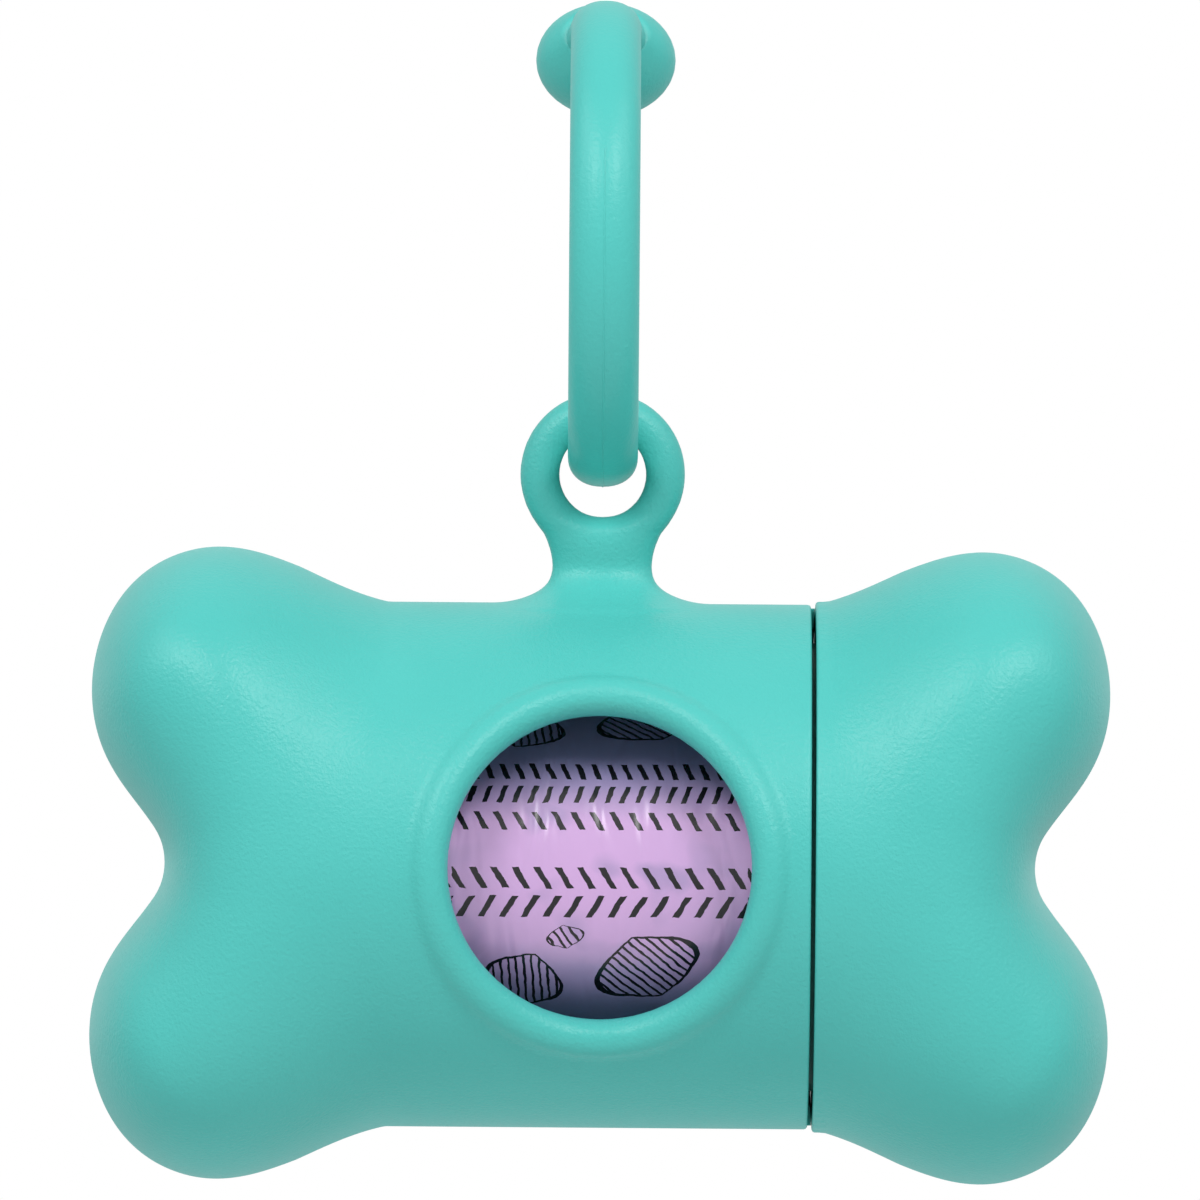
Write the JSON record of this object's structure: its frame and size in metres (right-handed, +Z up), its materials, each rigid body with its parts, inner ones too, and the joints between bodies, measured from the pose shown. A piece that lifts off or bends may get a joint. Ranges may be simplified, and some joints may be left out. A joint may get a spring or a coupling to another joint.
{
  "type": "waste bag dispenser",
  "caption": "Bone-shaped pet waste bag dispenser with a round window over the bag roll, a pull-off end cap and a soft hanging ring.",
  "frame": {"origin": "inner top of the hanging ring, where a strap or lead would carry it", "axes": "+Z up, +X along the bone towards the pull-off cap, +Y to the back, away from the window"},
  "size_m": [0.09, 0.0473, 0.1045],
  "materials": {
    "shell": "soft-touch matte",
    "cap": "soft-touch matte",
    "collar": "smooth matte",
    "ring": "satin silicone",
    "film": "thin printed film",
    "paper": "plain cardboard"
  },
  "bodies": {
    "ring": {"carry_ring": "ring"},
    "housing": {"body_front_shell": "shell", "body_rear_shell": "shell", "mouth_collar": "collar"},
    "cap": {"cap_front_shell": "cap", "cap_rear_shell": "cap"},
    "roll": {"bag_roll": "film", "roll_core": "paper"}
  },
  "joints": [
    {"name": "housing_swing", "type": "hinge", "parent": "ring", "child": "housing", "pos_m": [0, 0, -0.03804], "axis": [0, 1, 0], "range_deg": [-80, 80]},
    {"name": "cap_pull", "type": "slide", "parent": "housing", "child": "cap", "axis": [1, 0, 0], "range_m": [0, 0.04]},
    {"name": "roll_spin", "type": "hinge", "parent": "housing", "child": "roll", "pos_m": [0, 0, -0.07394], "axis": [1, 0, 0], "continuous": true}
  ]
}
